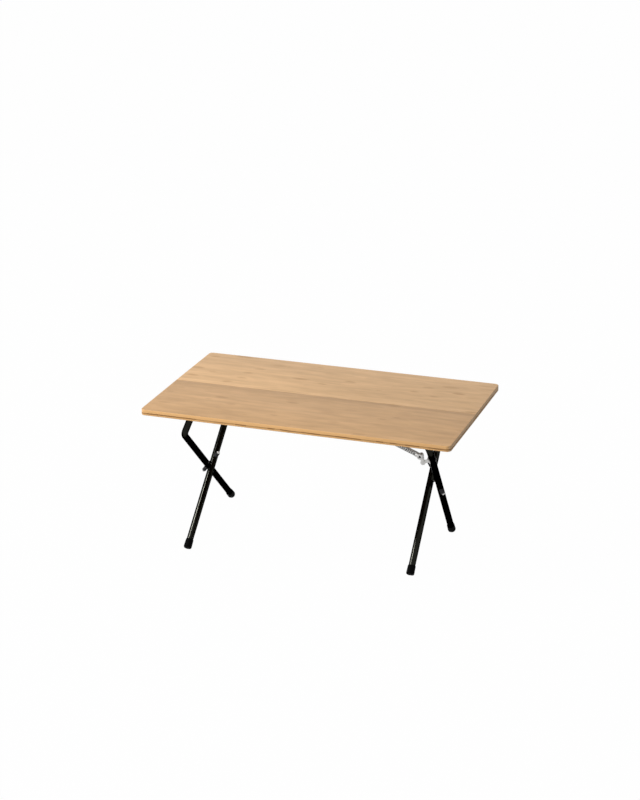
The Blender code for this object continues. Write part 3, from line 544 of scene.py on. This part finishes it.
def node_box(node):
    """The low and high corners of a CAD node's box."""
    low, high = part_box(node)
    return np.array(low), np.array(high)


def board_thickness():
    """Thickness of the top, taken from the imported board."""
    low, high = node_box("front_board")
    return float(high[2] - low[2])


def dress_node(node):
    """Give a CAD node that stays the finish of its slot."""
    materials = NODES[node].data.materials
    materials.clear()
    materials.append(finishes()[slot_of(node)])


def place_piece(name, node, points, ends="caps"):
    """A closed mesh from a grid of points. It stands for a CAD node, rides on its body and has its finish."""
    mesh = bpy.data.meshes.new(name)
    mesh.from_pydata(points.reshape(-1, 3).tolist(), [], grid_faces(*points.shape[:2], ends))
    mesh.validate()
    mesh.shade_smooth()
    mesh.set_sharp_from_angle(angle=math.radians(SHARP_DEG))
    mesh.materials.append(finishes()[slot_of(node)])
    piece = bpy.data.objects.new(name, mesh)
    bpy.context.scene.collection.objects.link(piece)
    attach(piece, body_of(node))
    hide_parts(node)


def grid_faces(rows, columns, ends):
    """Faces of a grid of rings, each closed on itself. The ends are "caps", a flat face on the first ring and
    one on the last, or "ring", where the last ring joins the first."""
    row = np.arange(rows if ends == "ring" else rows - 1)[:, None]
    column = np.arange(columns)[None, :]
    after_row = (row + 1) % rows
    after_column = (column + 1) % columns
    corners = (row * columns + column, row * columns + after_column,
               after_row * columns + after_column, after_row * columns + column)
    faces = np.stack(np.broadcast_arrays(*corners), -1).reshape(-1, 4).tolist()
    if ends == "caps":
        faces.append(list(range(columns - 1, -1, -1)))
        faces.append(list(range((rows - 1) * columns, rows * columns)))
    return faces


def unit(vector):
    """A vector, or each row of an array, made one long."""
    return vector / np.linalg.norm(vector, axis=-1, keepdims=True)


def square_axes(direction):
    """Two unit vectors square to a direction, so that side x up = direction."""
    helper = Z_AXIS if abs(direction[2]) < UPRIGHT else X_AXIS
    side = unit(np.cross(helper, direction))
    return side, np.cross(direction, side)


def turned(profile, start, direction, sides, star=None):
    """Surface of revolution: start + d along the axis + r (cos t side + sin t up) for each (r, d) of the
    profile. A star share per row makes r wave round the axis, for a drive recess."""
    profile = np.asarray(profile, float)
    direction = unit(np.asarray(direction, float))
    side, up = square_axes(direction)
    turn = 2 * math.pi * (np.arange(sides) + 0.5) / sides
    wave = 1.0 if star is None else 1.0 + np.asarray(star)[:, None] * np.cos(RECESS_POINTS * turn)[None, :]
    radius = profile[:, :1] * wave * np.ones((1, sides))
    rim = np.cos(turn)[:, None] * side + np.sin(turn)[:, None] * up
    return np.asarray(start) + profile[:, 1, None, None] * direction + radius[..., None] * rim[None]


def arc_profile(radius, centre_r, centre_d, start_deg, end_deg, steps):
    """Points of a quarter or half round in a profile: centre + radius (cos a, sin a)."""
    angle = np.radians(np.linspace(start_deg, end_deg, steps + 1))
    return np.stack((centre_r + radius * np.cos(angle), centre_d + radius * np.sin(angle)), -1)


def swept(path, radius, sides, reference):
    """Round tube: each point of the path + r (cos t n + sin t b), where n is the reference made square to
    the path, and b is square to both."""
    tangent = unit(np.gradient(path, axis=0))
    normal = unit(reference - np.sum(reference * tangent, -1, keepdims=True) * tangent)
    other = np.cross(tangent, normal)
    turn = 2 * math.pi * np.arange(sides) / sides
    rim = np.cos(turn)[None, :, None] * normal[:, None] + np.sin(turn)[None, :, None] * other[:, None]
    return path[:, None] + np.reshape(radius, (-1, 1, 1)) * rim


def leg_axis(side, role, sizes):
    """A leg's foot, bend and tip, and the direction of its long run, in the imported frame."""
    low, high = node_box(f"{side}_{role}_foot_cap")
    foot_y, bend_y, drop = LEG_BENDS[side, role]
    underside = node_box("front_board")[0][2]
    plane_x = (low[0] + high[0]) / 2
    bend = np.array((plane_x, bend_y, underside - drop))
    lean = math.atan2(abs(bend_y - foot_y), bend[2])
    rim = sizes.cap_round * (math.sin(lean) + math.cos(lean) - 1)
    foot = np.array((plane_x, foot_y, sizes.cap_radius * math.sin(lean) - rim - sizes.cap_flat))
    hinge = JOINTS[f"{side}_frame_fold"]["pos_m"]
    pivot = np.array((hinge[0], bend_y, hinge[2]))
    tip = pivot + unit(pivot - bend) * sizes.tube_top
    return SimpleNamespace(foot=foot, bend=bend, tip=tip, along=unit(bend - foot))


def bent_run(start, bend, end, radius):
    """A tube's axis: a straight run, an arc of a circle that touches both runs, and a straight run."""
    arrive = unit(bend - start)
    leave = unit(end - bend)
    angle = math.acos(float(arrive @ leave))
    setback = radius * math.tan(angle / 2)
    inward = unit(leave - arrive)
    centre = bend + inward * radius / math.cos(angle / 2)
    turn = np.linspace(0.0, angle, BEND_STEPS + 1)[:, None]
    out = unit(bend - arrive * setback - centre)
    arc = centre + radius * (np.cos(turn) * out + np.sin(turn) * arrive)
    first = start + np.linspace(0.0, 1.0, LONG_RUN_POINTS)[:-1, None] * (arc[0] - start)
    last = arc[-1] + np.linspace(0.0, 1.0, SHORT_RUN_POINTS)[1:, None] * (end - arc[-1])
    return np.concatenate((first, arc, last))


class CAMPTABLE_OT_boards(bpy.types.Operator):
    """Make the two bamboo boards of the top and finish the spline between them"""
    bl_idname = "camp_table.boards"
    bl_label = "Top boards"

    def execute(self, context):
        sizes = context.scene.camp_table_sizes
        for node, outer in (("front_board", -1.0), ("back_board", 1.0)):
            place_piece(f"{node}_bamboo", node, board_surface(node, outer, sizes))
        dress_node("centre_spline")
        return {"FINISHED"}


def board_surface(node, outer, sizes):
    """Rounded slab: corner centre + (r - d) out at height z, where (d, z) runs round the edge's section.
    The corners at the seam have about the edge's own small radius, and its edges a smaller rounding."""
    low, high = node_box(node)
    rounding = sizes.edge_round
    corners = []
    for sign_x, sign_y, first in ((1, -1, -90), (1, 1, 0), (-1, 1, 90), (-1, -1, 180)):
        at_seam = sign_y != outer
        radius = rounding * SEAM_CORNER if at_seam else sizes.corner_radius
        share = SEAM_ROUND if at_seam else 1.0
        middle_x = sign_x * (high[0] - radius)
        middle_y = high[1] - radius if sign_y > 0 else low[1] + radius
        angle = np.radians(first + np.linspace(0, 90, CORNER_STEPS + 1))
        fixed = np.tile((middle_x, middle_y, radius, share), (len(angle), 1))
        corners.append(np.column_stack((fixed, np.cos(angle), np.sin(angle))))
    centre_x, centre_y, radius, share, out_x, out_y = np.concatenate(corners).T
    quarter = np.radians(np.linspace(0, 90, EDGE_STEPS + 1))
    inset = rounding * (1 - np.cos(quarter))
    rise = rounding * np.sin(quarter)
    depth = np.concatenate((inset[::-1], inset))[:, None]
    height = np.concatenate((low[2] + rounding - rise[::-1], high[2] - rounding + rise))[:, None]
    reach = radius - depth * share
    height = np.broadcast_to(height, reach.shape)
    return np.stack((centre_x + reach * out_x, centre_y + reach * out_y, height), -1)


class CAMPTABLE_OT_legs(bpy.types.Operator):
    """Make the four bent leg tubes"""
    bl_idname = "camp_table.legs"
    bl_label = "Leg tubes"

    dome_height: length_prop("Dome height", "Height of the dome that closes a tube's upper end", 0.0026)

    def execute(self, context):
        sizes = context.scene.camp_table_sizes
        dome = np.radians(TUBE_DOME_DEG)
        for side, role in LEG_BENDS:
            leg = leg_axis(side, role, sizes)
            start = leg.foot + leg.along * (sizes.cap_floor + FIT_GAP)
            path = bent_run(start, leg.bend, leg.tip, sizes.bend_radius)
            rise = np.sin(dome)[:, None] * unit(leg.tip - leg.bend) * self.dome_height
            path = np.concatenate((path, leg.tip + rise))
            radius = np.full(len(path), sizes.tube_radius)
            radius[-len(dome):] *= np.cos(dome)
            node = f"{side}_{role}_leg"
            place_piece(f"{node}_tube", node, swept(path, radius, TUBE_SIDES, X_AXIS))
        return {"FINISHED"}


class CAMPTABLE_OT_foot_caps(bpy.types.Operator):
    """Make the four rubber foot caps"""
    bl_idname = "camp_table.foot_caps"
    bl_label = "Foot caps"

    def execute(self, context):
        sizes = context.scene.camp_table_sizes
        for side, role in LEG_BENDS:
            leg = leg_axis(side, role, sizes)
            node = f"{side}_{role}_foot_cap"
            place_piece(f"{node}_rubber", node, foot_cap_surface(leg, sizes))
        return {"FINISHED"}


def foot_cap_surface(leg, sizes):
    """Turned cup, slightly wider at the floor, with rounded rims; what is below the floor is flat."""
    radius, length, rounding = sizes.cap_radius, sizes.cap_length, sizes.cap_round
    socket = sizes.tube_radius + FIT_GAP
    lip = sizes.cap_rim / 2
    bottom = [(radius * share, 0.0) for share in CAP_BOTTOM]
    lower = arc_profile(rounding, radius - rounding, rounding, -90, 0, RIM_STEPS)
    upper = arc_profile(lip, socket + lip, length - lip, 0, 180, RIM_STEPS)
    profile = np.concatenate((bottom, lower, upper, [(socket, sizes.cap_floor)]))
    points = turned(profile, leg.foot, leg.along, CAP_SIDES)
    points[..., 2] = np.maximum(points[..., 2], 0.0)
    return points


class CAMPTABLE_OT_crossings(bpy.types.Operator):
    """Make the flush pin and the spacer at each crossing of two legs"""
    bl_idname = "camp_table.crossings"
    bl_label = "Leg crossings"

    pin_radius: length_prop("Pin radius", "Radius of a crossing's pin", 0.0020)
    spacer_bore: length_prop("Spacer bore", "Radius of the hole in a spacer", 0.0023)

    def execute(self, context):
        for side in SIDES:
            rod_piece(f"{side}_cross_pin", X_AXIS, self.pin_radius)
            ring_piece(f"{side}_cross_spacer", X_AXIS, self.spacer_bore)
        return {"FINISHED"}


def axis_run(node, direction):
    """Where a CAD node's axis along X, Y or Z starts, going the way of the direction, and how long it is."""
    low, high = node_box(node)
    length = float((high - low) @ np.abs(direction))
    return (low + high) / 2 - direction * length / 2, length


def turned_piece(node, profile, start, direction, sides, star=None, ends="caps"):
    """A turned surface in place of its CAD node."""
    place_piece(f"{node}_turned", node, turned(profile, start, direction, sides, star), ends)


def ring_piece(node, direction, bore):
    """A spacer along X or Y: a ring with small chamfers, as tall as its CAD node."""
    start, length = axis_run(node, direction)
    low, high = node_box(node)
    outer = float((high - low)[2]) / 2
    face = outer - RING_CHAMFER
    half = [(bore, 0.0), (face, 0.0), (outer, RING_CHAMFER)]
    profile = half + [(r, length - d) for r, d in half[::-1]]
    turned_piece(node, profile, start, direction, PIN_SIDES, ends="ring")


def rod_piece(node, direction, radius, head=0.0):
    """A rod along X, Y or Z with chamfered ends, or with a riveted head of a given radius at each end."""
    start, length = axis_run(node, direction)
    chamfer = radius * ROD_CHAMFER
    tip = [(radius / 2, 0.0), (radius - chamfer, 0.0), (radius, chamfer)]
    if head:
        tip = [(head * share, depth) for share, depth in RIVET_HEAD] + [(radius, RIVET_HEAD[-1][1])]
    profile = tip + [(r, length - d) for r, d in tip[::-1]]
    turned_piece(node, profile, start, direction, ROD_SIDES)


def screw_profile(head, height, shank, length):
    """Pan head with a star recess, then a plain shank: rows of (r, d), and how much each row waves."""
    dome = np.radians(SCREW_DOME_DEG)
    recess = np.array(RECESS) * (head, height)
    crown = np.stack((head * np.cos(dome), height * (1 - np.sin(dome))), -1)
    chamfer = shank * SCREW_CHAMFER
    end = [(head, height), (shank, height), (shank, length - chamfer), (shank - chamfer, length)]
    rows = np.concatenate((recess, crown, end))
    star = np.zeros(len(rows))
    star[1:len(RECESS)] = RECESS_WAVE
    return rows, star


def bolt_piece(node, direction, height, head, shank):
    """A screw or bolt along X, Y or Z, in place of its CAD node."""
    start, length = axis_run(node, direction)
    profile, star = screw_profile(head, height, shank, length)
    turned_piece(node, profile, start, direction, ROD_SIDES, star)


class CAMPTABLE_OT_buffers(bpy.types.Operator):
    """Finish the rubber buffers on the legs and make their bright screws"""
    bl_idname = "camp_table.buffers"
    bl_label = "Buffers"

    height: length_prop("Height", "Height of a buffer", 0.011)
    head_radius: length_prop("Head radius", "Outside radius of a buffer's screw head", 0.0042)
    head_height: length_prop("Head height", "Height of a buffer's screw head", 0.0042)
    shank_radius: length_prop("Shank radius", "Radius of a buffer's screw", 0.0015)
    screw_end: length_prop("Screw end", "How far the screw runs past the buffer's root", 0.0010)

    def execute(self, context):
        sizes = context.scene.camp_table_sizes
        seat = self.height + FIT_GAP
        profile, star = screw_profile(self.head_radius, self.head_height, self.shank_radius,
                                      self.head_height + seat + self.screw_end)
        for (side, role), (up, front, out) in BUFFER_PLACES.items():
            leg = leg_axis(side, role, sizes)
            low, high = node_box(f"{side}_cross_spacer")
            rise = (low[2] + high[2]) / 2 - leg.foot[2]
            base = leg.foot + leg.along * (rise / leg.along[2] + up)
            square = unit(np.cross(leg.along, X_AXIS))
            sign = 1.0 if role == "outer" else -1.0
            sideways = OUTWARD[side] * sign * X_AXIS
            tilt = math.radians(BUFFER_TILT_DEG[side])
            direction = sideways * math.cos(tilt) - Z_AXIS * sign * math.sin(tilt)
            root = base - square * np.sign(square[1]) * front + sideways * out
            node = f"{side}_{role}_buffer"
            dress_node(node)
            turned_piece(f"{node}_screw", profile, root + direction * (seat + self.head_height), -direction,
                         BUFFER_SCREW_SIDES, star)
        return {"FINISHED"}


class CAMPTABLE_OT_hinges(bpy.types.Operator):
    """Finish the hinge plates, ears, rails and brackets, and make their rods, bolts and screws"""
    bl_idname = "camp_table.hinges"
    bl_label = "Hinges and rails"

    screw_height: length_prop("Screw head height", "Height of a wood screw's head", 0.0020)
    screw_head: length_prop("Screw head radius", "Radius of a wood screw's head", 0.0038)
    screw_shank: length_prop("Screw shank radius", "Radius of a wood screw's shank", 0.0017)
    bolt_height: length_prop("Bolt head height", "Height of a bracket bolt's head", 0.0025)
    bolt_head: length_prop("Bolt head radius", "Radius of a bracket bolt's head", 0.0042)
    bolt_shank: length_prop("Bolt shank radius", "Radius of a bracket bolt's shank", 0.0020)
    rod_radius: length_prop("Rod radius", "Radius of a pivot rod", 0.0040)
    rivet_radius: length_prop("Rivet radius", "Radius of the right pivot rod's riveted heads", 0.0060)

    def execute(self, context):
        screw = (self.screw_height, self.screw_head, self.screw_shank)
        bolt = (self.bolt_height, self.bolt_head, self.bolt_shank)
        for side in SIDES:
            for part in ("hinge_plate", "front_hinge_ear", "rear_hinge_ear", "guide_rail", "stay_bracket"):
                dress_node(f"{side}_{part}")
            for part, count in (("plate_screw", 4), ("rail_screw", 2)):
                for number in range(1, count + 1):
                    bolt_piece(f"{side}_{part}_{number}", Z_AXIS, *screw)
            bolt_piece(f"{side}_bracket_bolt", -OUTWARD[side] * X_AXIS, *bolt)
        rod_piece("left_pivot_rod", Y_AXIS, self.rod_radius)
        rod_piece("right_pivot_rod", Y_AXIS, self.rod_radius, self.rivet_radius)
        return {"FINISHED"}


class CAMPTABLE_OT_stays(bpy.types.Operator):
    """Finish the stay arms and make their coil springs and pins"""
    bl_idname = "camp_table.stays"
    bl_label = "Spring stays"

    slider_radius: length_prop("Slider radius", "Radius of the pin in a stay's upper end", 0.0028)

    def execute(self, context):
        sizes = context.scene.camp_table_sizes
        for side in SIDES:
            dress_node(f"{side}_stay_arm")
            path, reference = spring_axis(side, sizes)
            node = f"{side}_stay_spring"
            place_piece(f"{node}_coil", node, swept(path, sizes.wire_radius, WIRE_SIDES, reference))
            rod_piece(f"{side}_slider_pin", Y_AXIS, self.slider_radius)
            outside = math.copysign(1.0, JOINTS[f"{side}_stay_swing"]["pos_m"][1])
            pin_piece(f"{side}_stay_pin", -outside * Y_AXIS)
        return {"FINISHED"}


def pin_piece(node, direction):
    """A riveted pin: domed head, shank and a smaller head at the far end."""
    start, length = axis_run(node, direction)
    profile = [*PIN_HEAD, *((radius, length - rise) for radius, rise in PIN_FAR_HEAD)]
    turned_piece(node, profile, start, direction, PIN_SIDES)


def spring_axis(side, sizes):
    """Helix between the arm's end blocks: along the stay + R (cos t above + sin t Y), with straight ends.
    The second array points from the stay's axis to each point of the helix."""
    low, high = node_box(f"{side}_slider_pin")
    slider = (low + high) / 2
    hinge = np.array(JOINTS[f"{side}_stay_swing"]["pos_m"])
    hinge[1] = slider[1]
    inward = -OUTWARD[side]
    slope = math.radians(STAY_SLOPE_DEG)
    along = np.array((inward * math.cos(slope), 0.0, math.sin(slope)))
    above = np.array((-inward * math.sin(slope), 0.0, math.cos(slope)))
    length = float((slider - hinge) @ along)
    straight = 2 * sizes.wire_radius
    first = sizes.end_block + FIT_GAP + straight
    run = length - 2 * first
    turn = np.linspace(0.0, 2 * math.pi * sizes.coils, sizes.coils * COIL_STEPS + 1)[:, None]
    radial = np.cos(turn) * above + np.sin(turn) * Y_AXIS
    coil = hinge + along * (first + run * turn / turn[-1]) + sizes.coil_radius * radial
    path = np.concatenate((coil[:1] - along * straight, coil, coil[-1:] + along * straight))
    return path, np.concatenate((radial[:1], radial, radial[-1:]))


class CAMPTABLE_OT_stage(bpy.types.Operator):
    """Set the floor, the studio light and the camera"""
    bl_idname = "camp_table.stage"
    bl_label = "Studio stage"

    key_power: power_prop("Key lights", "Power of each of the two lights high at the left", 73.0)
    fill_power: power_prop("Fill light", "Power of the low light in front", 31.0)
    back_power: power_prop("Back light", "Power of the light behind", 16.5)
    lens: FloatProperty(name="Lens", description="Focal length", default=93.38, unit="CAMERA")
    azimuth: angle_prop("Azimuth", "Camera's turn round the table", 18.86)
    elevation: angle_prop("Elevation", "Camera's angle above level", 19.85)
    place: FloatVectorProperty(name="Camera place", description="Where the camera stands",
                               default=(1.651, -4.856, 2.245), subtype="TRANSLATION")

    def execute(self, context):
        scene = context.scene
        scene.view_settings.view_transform = "Standard"
        self.make_floor(scene)
        self.make_world(scene)
        for name, (power, width, length, place) in LIGHTS.items():
            self.make_light(scene, name, getattr(self, power), width, length, place)
        self.make_camera(scene)
        return {"FINISHED"}

    def make_floor(self, scene):
        """A wide square on the ground, white to the eye but for the shadows that show through."""
        corner = np.array(((-1, -1), (1, -1), (1, 1), (-1, 1))) * FLOOR_REACH
        mesh = bpy.data.meshes.new("floor")
        mesh.from_pydata(np.column_stack((corner, np.full(4, -FLOOR_DROP))).tolist(), [], [(0, 1, 2, 3)])
        floor = bpy.data.objects.new("floor", mesh)
        scene.collection.objects.link(floor)
        material = bpy.data.materials.new("floor_finish")
        material.use_nodes = True
        tree = material.node_tree
        tree.nodes.remove(tree.nodes["Principled BSDF"])
        colour = rgba(scene.camp_table_colours.floor)
        plain = Field(tree).make("ShaderNodeBsdfDiffuse", {}, {"Color": colour})
        bright = Field(tree).make("ShaderNodeEmission", {}, {"Color": WHITE, "Strength": 1.0})
        shown = seen_by_eye(tree) * FLOOR_WHITE
        mixed = Field(tree).make("ShaderNodeMixShader", {}, {0: shown, 1: plain, 2: bright})
        tree.links.new(mixed.socket, tree.nodes["Material Output"].inputs["Surface"])
        mesh.materials.append(material)

    def make_world(self, scene):
        """White where the eye or a reflection sees it, and a softer level as light."""
        world = bpy.data.worlds.new("studio")
        world.use_nodes = True
        scene.world = world
        tree = world.node_tree
        level = WORLD_LIGHT + (1.0 - WORLD_LIGHT) * seen_by_eye(tree)
        background = tree.nodes["Background"]
        background.inputs["Color"].default_value = WHITE
        tree.links.new(level.socket, background.inputs["Strength"])

    def make_light(self, scene, name, power, width, length, place):
        """A soft light that faces the middle of the table; its width lies along X."""
        data = bpy.data.lights.new(name, "AREA")
        data.shape = "RECTANGLE"
        data.energy = power
        data.size = width
        data.size_y = length
        light = bpy.data.objects.new(name, data)
        light.location = place
        away = (Vector(place) - Vector((0.0, 0.0, CAD_BOX[1].z * LIGHT_AIM))).normalized()
        side = (Vector(X_AXIS) - away * away.x).normalized()
        light.rotation_euler = Matrix((side, away.cross(side), away)).transposed().to_euler()
        scene.collection.objects.link(light)

    def make_camera(self, scene):
        """The camera at its place, turned by its azimuth and elevation."""
        camera = bpy.data.objects.new("camera", bpy.data.cameras.new("camera"))
        camera.data.lens = self.lens
        camera.data.sensor_width = SENSOR_WIDTH_MM
        level = math.cos(self.elevation)
        back = Vector((math.sin(self.azimuth) * level, -math.cos(self.azimuth) * level,
                       math.sin(self.elevation)))
        camera.location = self.place
        camera.rotation_euler = (-back).to_track_quat("-Z", "Y").to_euler()
        scene.collection.objects.link(camera)
        scene.camera = camera


def seen_by_eye(tree):
    """1 for camera, mirror and glass rays, 0 for the rays that only carry light."""
    rays = Field(tree).make("ShaderNodeLightPath", {}, {}).socket.node.outputs
    seen = Field(tree, rays["Is Camera Ray"]).larger(Field(tree, rays["Is Glossy Ray"]))
    return seen.larger(Field(tree, rays["Is Transmission Ray"]))


class CAMPTABLE_PT_sidebar(bpy.types.Panel):
    """Lists the steps that dress the table, and its sizes and colours"""
    bl_label = "Camping Table"
    bl_idname = "CAMPTABLE_PT_sidebar"
    bl_space_type = "VIEW_3D"
    bl_region_type = "UI"
    bl_category = "Camping Table"

    def draw(self, context):
        for step in STEPS:
            self.layout.operator(step.bl_idname)
        for group in (context.scene.camp_table_sizes, context.scene.camp_table_colours):
            box = self.layout.box()
            for name in group.bl_rna.properties.keys():
                if name not in ("rna_type", "name"):
                    box.prop(group, name)


STEPS = (CAMPTABLE_OT_boards, CAMPTABLE_OT_legs, CAMPTABLE_OT_foot_caps, CAMPTABLE_OT_crossings,
         CAMPTABLE_OT_buffers, CAMPTABLE_OT_hinges, CAMPTABLE_OT_stays, CAMPTABLE_OT_stage)
CLASSES = (CampTableSizes, CampTableColours, *STEPS, CAMPTABLE_PT_sidebar)


def register():
    for item in CLASSES:
        bpy.utils.register_class(item)
    bpy.types.Scene.camp_table_sizes = PointerProperty(type=CampTableSizes)
    bpy.types.Scene.camp_table_colours = PointerProperty(type=CampTableColours)


def unregister():
    del bpy.types.Scene.camp_table_colours
    del bpy.types.Scene.camp_table_sizes
    for item in reversed(CLASSES):
        bpy.utils.unregister_class(item)


def main():
    register()
    bpy.ops.camp_table.boards()
    bpy.ops.camp_table.legs()
    bpy.ops.camp_table.foot_caps()
    bpy.ops.camp_table.crossings()
    bpy.ops.camp_table.buffers()
    bpy.ops.camp_table.hinges()
    bpy.ops.camp_table.stays()
    bpy.ops.camp_table.stage()


if __name__ == "__main__":
    main()
